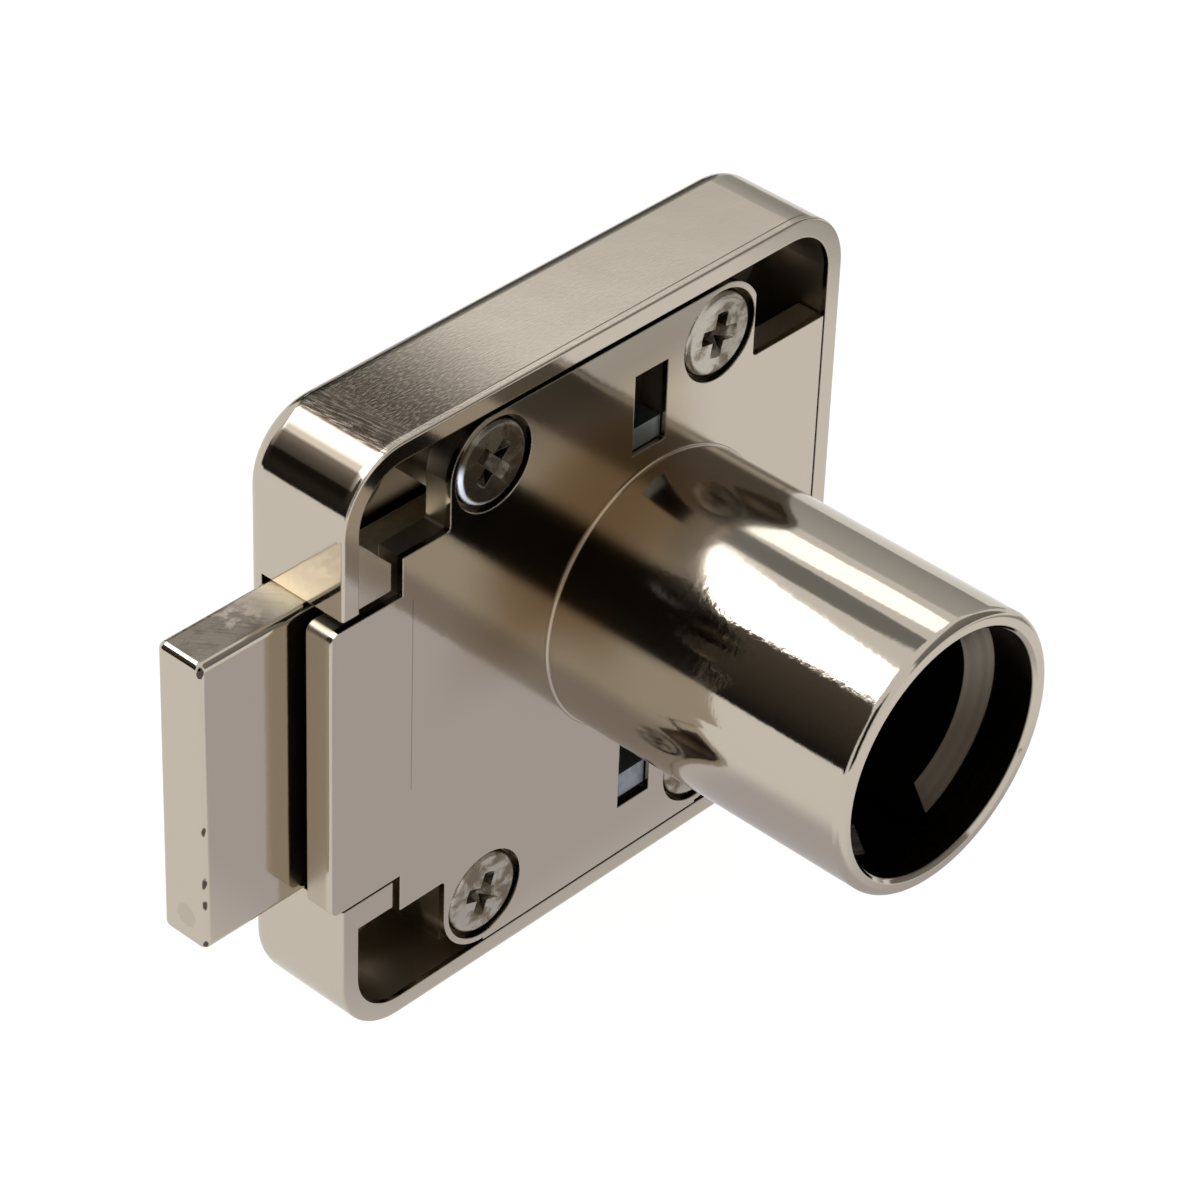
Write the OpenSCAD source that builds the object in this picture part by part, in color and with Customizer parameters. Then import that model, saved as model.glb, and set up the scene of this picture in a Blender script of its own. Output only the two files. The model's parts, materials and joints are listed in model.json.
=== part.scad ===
// Cabinet door rim lock. Millimetres, +Z up.
// The tube points along -Y through the door, the bolt slides along X.
// Origin: the tube's axis where it crosses the case's rim, which lies on the door.

/* [Case] */
// Width of the case
case_w = 40; // [38:0.5:44]
// Height of the case
case_h = 40; // [39:0.5:46]
// Depth of the case, rim to back
case_d = 7.8; // [7.6:0.1:10]
// Distance from the bolt side of the case to the tube's axis
backset = 25; // [24.5:0.25:26]
// Thickness of the side walls
wall_t = 1.2; // [1:0.1:1.4]
// Thickness of the back
floor_t = 1.5; // [1.2:0.1:1.8]
// Radius of the four upright corners
corner_r = 4.5; // [3:0.25:5]
// Radius of the edge round the back
back_edge_r = 1.4; // [0.6:0.1:1.6]
// Radius of the edge round the rim
rim_edge_r = 0.15; // [0.1:0.05:0.5]

/* [Fixing to the door] */
// Distance from a fixing hole to the two nearest sides of the case
fix_inset = 5; // [4.8:0.05:5.2]
// Diameter of a fixing hole
fix_d = 3.6; // [3:0.1:4]
// Depth of the countersink at the back
sink_depth = 1.5; // [1.2:0.1:1.7]
// Height of the pad round each fixing hole
pad_t = 1.3; // [0.8:0.1:1.6]

/* [Front plate and tube] */
// Thickness of the front plate
plate_t = 1.9; // [1.6:0.1:2.1]
// Gap between the plate's edge and the rim at the bottom and the far side
plate_gap = 0.15; // [0.1:0.05:0.3]
// Gap between the plate's edge and the rim at the top
top_gap = 0.35; // [0.1:0.05:0.5]
// Height of the tongue that fills the wall over the bolt
tongue_h = 19.6; // [18:0.1:19.8]
// How far the tongue stands out of the case's side
tongue_reach = 0.9; // [0:0.1:1.2]
// Diameter of the tube
tube_d = 17.8; // [17.6:0.1:18.6]
// Length of the tube in front of the rim
tube_l = 22; // [20:0.5:32]
// Diameter of the bore that takes the cylinder core
bore_d = 12.6; // [12:0.1:13]
// How much narrower the driver's bearing is than the core's bore
bearing_step = 0.6; // [0.4:0.1:1]
// Diameter of the mouth that takes the core's head
mouth_d = 15.5; // [14.5:0.1:15.8]
// Depth of the mouth to the outer edge of its seat
mouth_depth = 3; // [2:0.25:4]
// How far the seat falls towards the bore
seat_fall = 1; // [0.4:0.1:1.5]
// Radius of the edge round the mouth
mouth_edge_r = 0.55; // [0.3:0.05:0.7]
// Width of the keyway under the bore
key_w = 5.2; // [3:0.1:6]
// Distance from the bolt side of the case to the cover screws there
screw_near = 11.4; // [11.2:0.05:11.6]
// Distance from the far side of the case to the cover screws there
screw_far = 10.45; // [10.2:0.05:10.7]
// Distance from the top or bottom of the case to a cover screw
screw_inset = 4.8; // [4.7:0.05:5]
// Radius of the plate's ear round a cover screw
ear_r = 3.3; // [3.2:0.05:3.4]
// Width of the two windows beside the tube
window_w = 2.7; // [2.2:0.1:3.2]
// Distance of the windows' left edge from the tube's axis
window_left = 2.4; // [2:0.1:2.8]
// Distance from the axis to the near end of a window
window_near = 10.2; // [10:0.1:10.6]
// Length of the window above the tube
window_l = 5.4; // [4.8:0.1:5.8]
// Length of the window below the tube
low_window_l = 5; // [4.8:0.1:5.6]

/* [Bolt] */
// Height of the bolt's head
bolt_h = 19.8; // [18:0.1:19.9]
// Thickness of the bolt
bolt_t = 3.4; // [3.2:0.05:3.45]
// How far the middle of the bolt's head lies above the tube's axis
bolt_rise = 0.25; // [0:0.05:0.3]
// How far the locked bolt stands out of the case
bolt_throw = 8; // [6:0.1:8.2]
// Height of the bolt's tail
tail_h = 17.2; // [16.6:0.1:17.6]
// Radius of the bolt's edges
bolt_edge_r = 0.5; // [0.2:0.05:0.6]
// Gap between the bolt and the back of the case
bolt_gap = 0.25; // [0.2:0.05:0.3]
// Depth of the detent notches
notch_depth = 0.9; // [0.6:0.1:1.1]

/* [Turning parts] */
// Angle that the driver turns
turn = 90; // [80:1:100]
// Diameter of the crank pin
pin_d = 2.6; // [2:0.1:3]
// Clearance of the driver's hub in its bearing
hub_gap = 0.06; // [0.03:0.01:0.1]
// Length of the driver's hub
hub_l = 3.4; // [2:0.1:4]
// Thickness of the driver's flange
flange_t = 2.05; // [1.8:0.05:2.2]
// Thickness of the spring washer
washer_t = 0.3; // [0.2:0.05:0.4]
// Thickness of the steel retaining plate
keeper_t = 0.55; // [0.4:0.05:0.6]
// Thickness of the detent spring's strip
strip_t = 0.4; // [0.3:0.05:0.5]

/* [Cover screws] */
// Diameter of a screw head
head_d = 5.4; // [5:0.1:5.6]
// Height of a screw head
head_h = 1; // [0.8:0.1:1.1]
// Diameter of a screw's shank
shank_d = 2.8; // [2.4:0.1:3]
// Length of a screw's shank
shank_l = 5; // [4:0.25:5.5]

/* [Hidden] */
$fn = 96;
eps = 0.01;
NICKEL = [0.72, 0.69, 0.65];
ZINC = [0.62, 0.66, 0.70];
STEEL = [0.55, 0.55, 0.56];

// Case: places worked out from the driving sizes
case_left = -backset;
case_right = case_w - backset;
case_x = (case_left + case_right) / 2;
floor_y = case_d - floor_t;
in_left = case_left + wall_t;
in_right = case_right - wall_t;
in_top = case_h / 2 - wall_t;
in_r = corner_r - wall_t;

// The slot that the bolt comes out of, with a rib at each end
bolt_high = bolt_rise + bolt_h / 2;
bolt_low = bolt_rise - bolt_h / 2;
slot_gap_up = 0.2;
slot_gap_down = 0.3;
slot_up = bolt_high + slot_gap_up;
slot_down = -bolt_low + slot_gap_down;
rib_reach = 2.7;
rib_t = 1.8;
rib_recess = 0.3;

// Plate: cut-outs and screw places
rib_gap = 0.6;
plate_left = in_left + rib_reach + rib_gap;
plate_right = in_right - plate_gap;
plate_top = in_top - top_gap;
plate_low = -in_top + plate_gap;
tongue_left = case_left - tongue_reach;
screw_left = case_left + screw_near;
screw_right = case_right - screw_far;
screw_z = case_h / 2 - screw_inset;
screws_at = [for (x = [screw_left, screw_right], s = [-1, 1]) [x, s * screw_z]];
ear_trim = 0.3;
pocket_left = screw_left - ear_r;
pocket_right = screw_right + ear_r - ear_trim;
pocket_drop = 2.85;
pocket_low = screw_z - pocket_drop;
pocket_r = 0.3;
tongue_edge_r = 0.15;
tongue_corner_r = 0.6;
fix_z = case_h / 2 - fix_inset;
fixings_at = [for (x = [case_left + fix_inset, case_right - fix_inset], s = [-1, 1]) [x, s * fix_z]];

// Layers from the plate to the back, along Y
keeper_gap = 0.05;
keeper_y = plate_t + keeper_gap;
bolt_back = floor_y - bolt_gap;
bolt_front = bolt_back - bolt_t;

// Driver: its flange sits in a pocket in the back of the tube
bore_r = bore_d / 2;
bearing_r = bore_r - bearing_step / 2;
flange_gap = 0.1;
flange_side_gap = 0.2;
flange_wall = 0.95;
flange_back = keeper_y - flange_gap;
flange_front = flange_back - flange_t;
washer_gap = 0.05;
pocket_front = flange_front - washer_t - 2 * washer_gap;
flange_pocket_r = tube_d / 2 - flange_wall;
flange_r = flange_pocket_r - flange_side_gap;
hub_front = flange_front - hub_l;
hub_bevel = 0.3;
bearing_front = hub_front - hub_bevel;
socket_w = 7;
socket_t = 2.4;
socket_deep = 3;
key_lead = 0.4;
mouth_bevel = 0.25;
crank_r = bolt_throw / 2 / sin(turn / 2);
crank_x = -bolt_throw / 2;
crank_z = crank_r * cos(turn / 2);
pin_fit = 0.01;
pin_seat = flange_front + 0.2;
pin_end = bolt_back - 0.2;
pin_bevel = 0.25;
// The bolt follows the driver at a steady rate, so its slot needs room where the crank runs ahead
steady_slip = let (a = acos(bolt_throw / (crank_r * turn * PI / 180)))
    abs(crank_r * sin(a) - bolt_throw * a / turn);
yoke_gap = 0.08;
yoke_end_gap = 0.3;
yoke_w = pin_d + 2 * (steady_slip + yoke_gap);
yoke_low = crank_z - pin_d / 2 - yoke_end_gap;
yoke_high = crank_r + pin_d / 2 + yoke_end_gap;

// Bolt: where the head ends and the tail ends when locked
bolt_end = case_left - bolt_throw;
head_stop = 0.9;
head_end = -head_stop - bolt_throw;
head_overlap = 2;
tail_lip = 6.3;
tail_end = crank_x + yoke_w / 2 + tail_lip;

// Rails that guide the tail, and ledges under the plate's edge
rail_left = 0.4;
rail_l = 9;
rail_t = 1.2;
rail_gap = 0.15;
rail_y = bolt_front + 0.25;
ledge = 1.2;
side_ledge_l = 6;
end_ledge_l = 4;

// Detent: the nose of the spring stands in one of two notches under the bolt
notch_edge = 1.3;
notch_gap = 0.15;
nose_x = head_end - notch_edge;
nose_r = notch_depth + strip_t / 2;
nose_z = bolt_low - nose_r + notch_depth - notch_gap;
strip_gap = 0.25;
strip_top = -slot_down - strip_gap;
arm_reach = 6;
peg_reach = 6.8;
peg_x = nose_x + peg_reach;
peg_r = 1.05;
curl_gap = 0.1;
curl_r = peg_r + curl_gap + strip_t;
curl_z = strip_top - curl_r;
stop_x = nose_x - 5;
stop_r = 0.6;
stop_gap = 0.05;
spring_seat = bolt_front + 0.65;
spring_gap = 0.05;
spring_w = 2;

// Retaining plate: peened studs hold it to the front plate
stud_x = 7.8;
stud_over = 1.4;
stud_z = bolt_high + stud_over;
stud_r = 0.7;
stud_head_r = 1.05;
stud_head_t = 0.5;
stud_gap = 0.05;
stud_ear_r = 1.7;
keeper_w = 19;
keeper_trim = 0.4;
keeper_top = stud_z - keeper_trim;
tab_gap = 0.1;
tab_w = window_w - 2 * tab_gap;
tab_h = 1.4;
low_tab_h = 1.7;
tab_recess = 0.35;
tab_left = -window_left + tab_gap;
tab_high = window_near + tab_gap;
tab_drop = 0.4;
tab_low = -window_near - low_window_l + tab_drop;
crank_slot_gap = 0.25;

// Screws
head_recess = 0.03;
head_gap = 0.25;
head_hole_r = head_d / 2 + head_gap;
head_seat = head_recess + head_h;
head_edge_r = 0.45;
shank_gap = 0.2;
thread_gap = 0.05;
shank_room = 0.4;
back_skin = 0.7;
screw_hole_end = min(head_seat + shank_l + shank_room, case_d - back_skin);
post_r = 2.9;
post_web = 0.6 * post_r;
post_relief = 0.3;
cross_w = 0.9;
cross_deep = 0.85 * head_h;
cross_r = 0.27 * head_d;
cross_flare = 0.35;

// Extrudes a 2D shape, drawn as X and Z, from y0 to y1
module along_y(y0, y1) {
    translate([0, y1, 0]) rotate([90, 0, 0]) linear_extrude(y1 - y0) children();
}

// Turns a 2D profile of radius and Y about the tube's axis
module turned_y() {
    rotate([-90, 0, 0]) rotate_extrude() children();
}

module rounded_rect(w, h, r) {
    square([w - 2 * r, h], center = true);
    square([w, h - 2 * r], center = true);
    for (x = [-1, 1], y = [-1, 1]) {
        translate([x * (w / 2 - r), y * (h / 2 - r)]) circle(r);
    }
}

// Cross-section of the case block: small round at the rim, larger round at the back
module edge_profile(w) {
    translate([-w / 2, rim_edge_r]) square([w, case_d - rim_edge_r - back_edge_r]);
    translate([-w / 2 + rim_edge_r, 0]) square([w - 2 * rim_edge_r, 2 * rim_edge_r]);
    translate([-w / 2 + back_edge_r, case_d - 2 * back_edge_r])
        square([w - 2 * back_edge_r, 2 * back_edge_r]);
    for (s = [-1, 1]) {
        translate([s * (w / 2 - rim_edge_r), rim_edge_r]) circle(rim_edge_r);
        translate([s * (w / 2 - back_edge_r), case_d - back_edge_r]) circle(back_edge_r);
    }
}

module case_block() {
    straight_x = case_w - 2 * corner_r;
    straight_z = case_h - 2 * corner_r;
    translate([case_x - straight_x / 2, 0, 0]) rotate([0, 90, 0])
        linear_extrude(straight_x) edge_profile(case_h);
    translate([case_x, 0, -straight_z / 2]) linear_extrude(straight_z) edge_profile(case_w);
    for (x = [-1, 1], z = [-1, 1]) {
        translate([case_x + x * straight_x / 2, 0, z * straight_z / 2]) turned_y()
            intersection() {
                edge_profile(2 * corner_r);
                square([corner_r, case_d]);
            }
    }
}

module slot_ribs() {
    along_y(rib_recess, floor_y + eps) polygon([
        [in_left - eps, slot_up], [in_left + rib_reach, slot_up],
        [in_left + rib_reach, slot_up + rib_t],
        [in_left, slot_up + rib_t + rib_reach], [in_left - eps, slot_up + rib_t + rib_reach]
    ]);
    along_y(0, floor_y + eps) translate([in_left - eps, -slot_down - rib_t])
        square([rib_reach + eps, rib_t]);
}

module case_posts() {
    difference() {
        for (p = screws_at) {
            along_y(plate_t, floor_y + eps) {
                translate(p) circle(post_r);
                translate([p[0] - post_web, p[1] > 0 ? p[1] : -in_top - eps])
                    square([2 * post_web, in_top - abs(p[1]) + eps]);
            }
        }
        room_for_neighbours();
    }
    for (p = fixings_at) {
        along_y(floor_y - pad_t, floor_y + eps) translate(p) circle(fix_d / 2 + sink_depth);
    }
}

// Keeps the posts clear of the retaining plate's tabs and of the detent spring in a smaller case
module room_for_neighbours() {
    keeper_back = keeper_y + keeper_t + post_relief;
    translate([tab_left - post_relief, plate_t - eps, tab_low - post_relief])
        cube([tab_w + 2 * post_relief, keeper_back - plate_t, tab_high + tab_h - tab_low + 2 * post_relief]);
    arm_end = nose_x - arm_reach - post_relief;
    curl_low = curl_z - curl_r - post_relief;
    translate([arm_end, spring_seat, curl_low])
        cube([peg_x + curl_r + post_relief - arm_end, floor_y - spring_seat, -slot_down - curl_low]);
}

// Ledges under the plate's edge, rails beside the bolt's tail and the spring's two pegs
module case_rests() {
    along_y(plate_t, floor_y + eps) {
        translate([in_right - ledge, -side_ledge_l / 2]) square([ledge + eps, side_ledge_l]);
        for (s = [-1, 1]) {
            translate([case_x - end_ledge_l / 2, s > 0 ? in_top - ledge : -in_top - eps])
                square([end_ledge_l, ledge + eps]);
        }
    }
    along_y(rail_y, floor_y + eps) {
        for (s = [-1, 1]) {
            mirror([0, s < 0 ? 1 : 0]) translate([rail_left, tail_h / 2 + rail_gap])
                square([rail_l, rail_t]);
        }
    }
    along_y(spring_seat, floor_y + eps) {
        translate([peg_x, curl_z]) circle(peg_r);
        translate([stop_x, strip_top - strip_t - stop_gap - stop_r]) circle(stop_r);
    }
}

module case() {
    color(NICKEL) difference() {
        union() {
            difference() {
                case_block();
                translate([case_x, 0, 0]) along_y(-1, floor_y)
                    rounded_rect(case_w - 2 * wall_t, case_h - 2 * wall_t, in_r);
                translate([case_left - 1, -1, -slot_down])
                    cube([wall_t + 1 + eps, floor_y + 1, slot_up + slot_down]);
            }
            slot_ribs();
            case_posts();
            case_rests();
        }
        for (p = screws_at) {
            along_y(0, screw_hole_end) translate(p) circle(shank_d / 2 + thread_gap);
        }
        for (p = fixings_at) {
            along_y(-1, case_d + 1) translate(p) circle(fix_d / 2);
            translate([p[0], 0, p[1]]) turned_y() polygon([
                [0, case_d - sink_depth], [fix_d / 2, case_d - sink_depth],
                [fix_d / 2 + sink_depth + 1, case_d + 1], [0, case_d + 1]
            ]);
        }
    }
}

// Outline of the plate: a tongue at the bolt side and a pocket at each corner for a fixing screw
module plate_outline() {
    difference() {
        union() {
            translate([plate_left, plate_low])
                square([plate_right - plate_left, plate_top - plate_low]);
            translate([tongue_left + tongue_corner_r, -tongue_h / 2])
                square([plate_left - tongue_left, tongue_h]);
            translate([tongue_left, tongue_corner_r - tongue_h / 2])
                square([plate_left - tongue_left, tongue_h - 2 * tongue_corner_r]);
            for (s = [-1, 1]) {
                translate([tongue_left + tongue_corner_r, s * (tongue_h / 2 - tongue_corner_r)])
                    circle(tongue_corner_r);
            }
        }
        for (s = [-1, 1]) {
            mirror([0, s < 0 ? 1 : 0]) {
                corner_pocket(plate_left - 1, pocket_left);
                corner_pocket(pocket_right, plate_right + 1);
                translate([pocket_left - eps, screw_z]) ear_cut(0);
                translate([pocket_right + eps, screw_z]) mirror([1, 0]) ear_cut(ear_trim);
            }
        }
    }
    for (s = [-1, 1]) {
        mirror([0, s < 0 ? 1 : 0]) {
            translate([pocket_left, pocket_low]) mirror([1, 0]) inner_round();
            translate([pocket_right, pocket_low]) inner_round();
        }
    }
}

// Fills a pocket's inner corner with a small concave round
module inner_round() {
    difference() {
        translate([-eps, -eps]) square(pocket_r + eps);
        translate([pocket_r, pocket_r]) circle(pocket_r);
    }
}

module corner_pocket(x0, x1) {
    translate([x0, pocket_low]) square([x1 - x0, case_h]);
}

// Takes away what lies outside the ear's round corner
module ear_cut(trim) {
    difference() {
        translate([-1, 0]) square([ear_r + 1 - trim, ear_r + 1]);
        translate([ear_r - trim, 0]) circle(ear_r);
    }
}

module tube_profile() {
    r = tube_d / 2;
    translate([0, -tube_l + mouth_edge_r]) square([r, tube_l - mouth_edge_r + plate_t]);
    translate([0, -tube_l]) square([r - mouth_edge_r, tube_l]);
    translate([r - mouth_edge_r, -tube_l + mouth_edge_r]) circle(mouth_edge_r);
}

// Everything cut out round the axis: mouth, seat, bore and the pocket for the driver's flange
module bore_profile() {
    seat = -tube_l + mouth_depth;
    polygon([
        [0, -tube_l - eps], [mouth_d / 2 + mouth_bevel, -tube_l - eps],
        [mouth_d / 2, -tube_l + mouth_bevel], [mouth_d / 2, seat],
        [bore_r, seat + seat_fall], [bore_r, bearing_front],
        [bearing_r, bearing_front], [bearing_r, pocket_front],
        [flange_pocket_r, pocket_front], [flange_pocket_r, plate_t + 1], [0, plate_t + 1]
    ]);
}

module front_plate() {
    color(NICKEL) difference() {
        union() {
            along_y(0, plate_t) plate_outline();
            turned_y() tube_profile();
            for (x = [-1, 1], z = [-1, 1]) {
                translate([x * stud_x, 0, z * stud_z]) {
                    stud_end = keeper_y + keeper_t + stud_head_t;
                    along_y(plate_t - eps, stud_end) circle(stud_r);
                    along_y(keeper_y + keeper_t, stud_end) circle(stud_head_r);
                }
            }
        }
        turned_y() bore_profile();
        translate([tongue_left, 0, -case_h / 2]) difference() {
            translate([-1, -1, 0]) cube([tongue_edge_r + 1, tongue_edge_r + 1, case_h]);
            translate([tongue_edge_r, tongue_edge_r, 0]) cylinder(r = tongue_edge_r, h = case_h);
        }
        key_start = -tube_l + mouth_depth - key_lead;
        translate([-key_w / 2, key_start, -mouth_d / 2])
            cube([key_w, bearing_front - key_start, mouth_d / 2]);
        along_y(-1, plate_t + 1) {
            translate([-window_left, window_near]) square([window_w, window_l]);
            translate([-window_left, -window_near - low_window_l]) square([window_w, low_window_l]);
        }
        for (p = screws_at) {
            along_y(-1, head_seat) translate(p) circle(head_hole_r);
            along_y(-1, plate_t + 1) translate(p) circle(shank_d / 2 + shank_gap);
        }
    }
}

// A box with every edge rounded, from corner a to corner b
module soft_box(a, b, r) {
    s = b - a;
    translate(a) {
        translate([r, r, 0]) cube([s[0] - 2 * r, s[1] - 2 * r, s[2]]);
        translate([r, 0, r]) cube([s[0] - 2 * r, s[1], s[2] - 2 * r]);
        translate([0, r, r]) cube([s[0], s[1] - 2 * r, s[2] - 2 * r]);
        for (y = [r, s[1] - r], z = [r, s[2] - r]) {
            translate([r, y, z]) rotate([0, 90, 0]) cylinder(r = r, h = s[0] - 2 * r);
        }
        for (x = [r, s[0] - r], z = [r, s[2] - r]) {
            translate([x, r, z]) rotate([-90, 0, 0]) cylinder(r = r, h = s[1] - 2 * r);
        }
        for (x = [r, s[0] - r], y = [r, s[1] - r]) {
            translate([x, y, r]) cylinder(r = r, h = s[2] - 2 * r);
            for (z = [r, s[2] - r]) {
                translate([x, y, z]) sphere(r);
            }
        }
    }
}

module bolt() {
    color(NICKEL) difference() {
        union() {
            soft_box([bolt_end, bolt_front, bolt_low], [head_end, bolt_back, bolt_high], bolt_edge_r);
            along_y(bolt_front, bolt_back) translate([head_end - head_overlap, -tail_h / 2])
                square([tail_end - head_end + head_overlap, tail_h]);
        }
        along_y(bolt_front - 1, bolt_back + 1) {
            translate([crank_x - yoke_w / 2, yoke_low]) square([yoke_w, yoke_high - yoke_low]);
            for (x = [nose_x, nose_x - bolt_throw]) {
                translate([x, nose_z]) circle(nose_r + notch_gap);
            }
        }
    }
}

module driver() {
    hub_r = bearing_r - hub_gap;
    color(ZINC) difference() {
        turned_y() polygon([
            [0, hub_front], [hub_r - hub_bevel, hub_front], [hub_r, hub_front + hub_bevel],
            [hub_r, flange_front], [flange_r, flange_front], [flange_r, flange_back],
            [0, flange_back]
        ]);
        translate([-socket_t / 2, hub_front - 1, -socket_w / 2])
            cube([socket_t, socket_deep + 1, socket_w]);
        along_y(pin_seat, flange_back + 1) translate([crank_x, crank_z])
            circle(pin_d / 2 + pin_fit);
    }
}

module crank_pin() {
    color(STEEL) translate([crank_x, 0, crank_z]) turned_y() polygon([
        [0, pin_seat], [pin_d / 2, pin_seat], [pin_d / 2, pin_end - pin_bevel],
        [pin_d / 2 - pin_bevel, pin_end], [0, pin_end]
    ]);
}

module driver_washer() {
    washer_front = pocket_front + washer_gap;
    color(STEEL) along_y(washer_front, washer_front + washer_t) difference() {
        circle(flange_r);
        circle(bearing_r + flange_side_gap);
    }
}

// Arc-shaped slot that lets the crank pin through and stops it at both ends of its turn
module crank_slot() {
    half = pin_d / 2 + crank_slot_gap;
    reach = 2 * crank_r;
    intersection() {
        difference() {
            circle(crank_r + half);
            circle(crank_r - half);
        }
        polygon([[0, 0], [-reach * sin(turn / 2), reach * cos(turn / 2)], [0, reach],
                 [reach * sin(turn / 2), reach * cos(turn / 2)]]);
    }
    for (s = [-1, 1]) {
        translate([s * bolt_throw / 2, crank_z]) circle(half);
    }
}

module retaining_plate() {
    color(ZINC) {
        along_y(keeper_y, keeper_y + keeper_t) difference() {
            union() {
                square([keeper_w, 2 * keeper_top], center = true);
                for (x = [-1, 1], z = [-1, 1]) {
                    translate([x * stud_x, z * stud_z]) circle(stud_ear_r);
                }
                translate([tab_left, tab_low]) square([tab_w, tab_high + tab_h - tab_low]);
            }
            crank_slot();
            for (x = [-1, 1], z = [-1, 1]) {
                translate([x * stud_x, z * stud_z]) circle(stud_r + stud_gap);
            }
        }
        along_y(tab_recess, keeper_y + eps) {
            translate([tab_left, tab_high]) square([tab_w, tab_h]);
            translate([tab_left, tab_low]) square([tab_w, low_tab_h]);
        }
    }
}

// Strip spring: a curl round its peg, a straight arm and a nose that drops into the bolt's notches
module detent_spring() {
    arm_end = nose_x - arm_reach;
    arm_z = strip_top - strip_t;
    spring_front = spring_seat + spring_gap;
    color(STEEL) along_y(spring_front, spring_front + spring_w) difference() {
        union() {
            translate([arm_end, arm_z]) square([peg_x - arm_end, strip_t]);
            translate([peg_x, curl_z]) circle(curl_r);
            nose_shape(nose_r, arm_z);
        }
        translate([peg_x, curl_z]) circle(curl_r - strip_t);
        nose_shape(nose_r - strip_t, arm_z - eps);
    }
}

// The part of a circle round the nose's centre that stands above the arm
module nose_shape(r, low) {
    intersection() {
        translate([nose_x, nose_z]) circle(r);
        translate([nose_x - nose_r, low]) square([2 * nose_r, 3 * nose_r]);
    }
}

// Cross recess: two tapered wings that meet over a small cone
module cross_recess() {
    intersection() {
        turned_y() polygon([
            [0, -1], [cross_r + cross_flare, -1], [cross_r, 0],
            [cross_r * cross_flare, cross_deep], [0, cross_deep]
        ]);
        union() {
            for (a = [0, 90]) {
                rotate([0, a, 0]) translate([-cross_w / 2, -1, -head_d])
                    cube([cross_w, cross_deep + 2, 2 * head_d]);
            }
        }
    }
}

module cover_screws() {
    r = head_d / 2;
    edge = head_edge_r;
    color(NICKEL) for (i = [0 : len(screws_at) - 1]) {
        translate([screws_at[i][0], head_recess, screws_at[i][1]]) difference() {
            union() {
                turned_y() {
                    translate([0, edge]) square([r, head_h - edge]);
                    square([r - edge, head_h]);
                    translate([r - edge, edge]) circle(edge);
                }
                along_y(head_h - eps, head_h + shank_l) circle(shank_d / 2);
            }
            rotate([0, 20 + 27 * i, 0]) cross_recess();
        }
    }
}

case();
front_plate();
bolt();
driver();
crank_pin();
driver_washer();
retaining_plate();
detent_spring();
cover_screws();
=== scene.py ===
# %% [markdown]
# # A cabinet door lock in nickel plate
#
# This lesson dresses a small rim lock: a square die-cast case, a front plate with a tube for the
# cylinder core, and a flat bolt. The solids come from the frame, at their real size and place.
# Almost everything on this lock is one metal, so the picture depends on three things: what the
# metal reflects, how smooth each face is, and how sharp each edge is.

# %% The frame
import json
import math
import bmesh
import bpy
from mathutils import Matrix, Vector


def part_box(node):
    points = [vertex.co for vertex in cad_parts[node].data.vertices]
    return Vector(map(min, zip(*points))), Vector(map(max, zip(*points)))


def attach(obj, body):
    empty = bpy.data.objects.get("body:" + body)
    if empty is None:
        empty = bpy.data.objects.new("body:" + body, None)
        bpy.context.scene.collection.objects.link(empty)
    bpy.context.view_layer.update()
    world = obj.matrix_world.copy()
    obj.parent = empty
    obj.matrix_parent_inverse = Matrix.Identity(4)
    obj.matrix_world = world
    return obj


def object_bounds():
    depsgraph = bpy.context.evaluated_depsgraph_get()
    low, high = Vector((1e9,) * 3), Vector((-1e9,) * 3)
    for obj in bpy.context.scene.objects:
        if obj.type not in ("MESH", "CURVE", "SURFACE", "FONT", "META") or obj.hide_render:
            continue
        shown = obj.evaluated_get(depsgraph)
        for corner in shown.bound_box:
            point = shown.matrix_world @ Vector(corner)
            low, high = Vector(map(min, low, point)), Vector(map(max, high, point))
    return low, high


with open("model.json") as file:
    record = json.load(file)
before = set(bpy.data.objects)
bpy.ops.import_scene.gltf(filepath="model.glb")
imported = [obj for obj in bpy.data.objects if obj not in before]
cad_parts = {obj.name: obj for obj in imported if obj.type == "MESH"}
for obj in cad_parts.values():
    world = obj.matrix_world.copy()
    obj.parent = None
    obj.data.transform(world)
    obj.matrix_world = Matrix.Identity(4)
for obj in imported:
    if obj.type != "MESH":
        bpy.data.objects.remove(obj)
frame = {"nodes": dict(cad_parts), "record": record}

cad_low, cad_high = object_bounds()
cad_size = [round((high - low) * 1000, 2) for low, high in zip(cad_low, cad_high)]
print("lock, mm:", cad_size)

# %% [markdown]
# ## Sizes that the finishes and small pieces need
#
# Blender works in metres here, and a lock is easier to think of in millimetres. `MM` turns one into
# the other. The tube's axis is the line x = 0, z = 0, and the door's face is the plane y = 0, so
# the sizes below can be read straight off the frame's boxes.

# %% Sizes
MM = 0.001
case_low, case_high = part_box("case")
plate_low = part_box("front_plate")[0]
bolt_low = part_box("bolt")[0]
screws_low, screws_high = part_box("cover_screws")
mounts = {mount["name"]: mount for mount in frame["record"]["mounts"]}
TUBE_R = mounts["tube"]["dims"]["r_mm"] * MM
MOUTH_R = mounts["core_mouth"]["dims"]["r_mm"] * MM
TUBE_END = plate_low.y
CASE_TOP = case_high.z
SCREW_HEAD_R = 2.7 * MM
print("tube, mm: radius", TUBE_R / MM, "end at", round(TUBE_END / MM, 2))

# %% [markdown]
# ## The camera
#
# The camera stands where the photograph's camera stood: to the left of the lock, in front of it and
# above it. A long lens keeps the square case nearly square. The picture is also rolled by a couple
# of degrees, which turns the camera about the line that it looks along.

# %% Camera
EYE = Vector((-170.01, -149.38, 167.32)) * MM
TARGET = Vector((-2.51, 1.91, -0.78)) * MM
LENS = 146.44
ROLL = math.radians(2.263)


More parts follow.
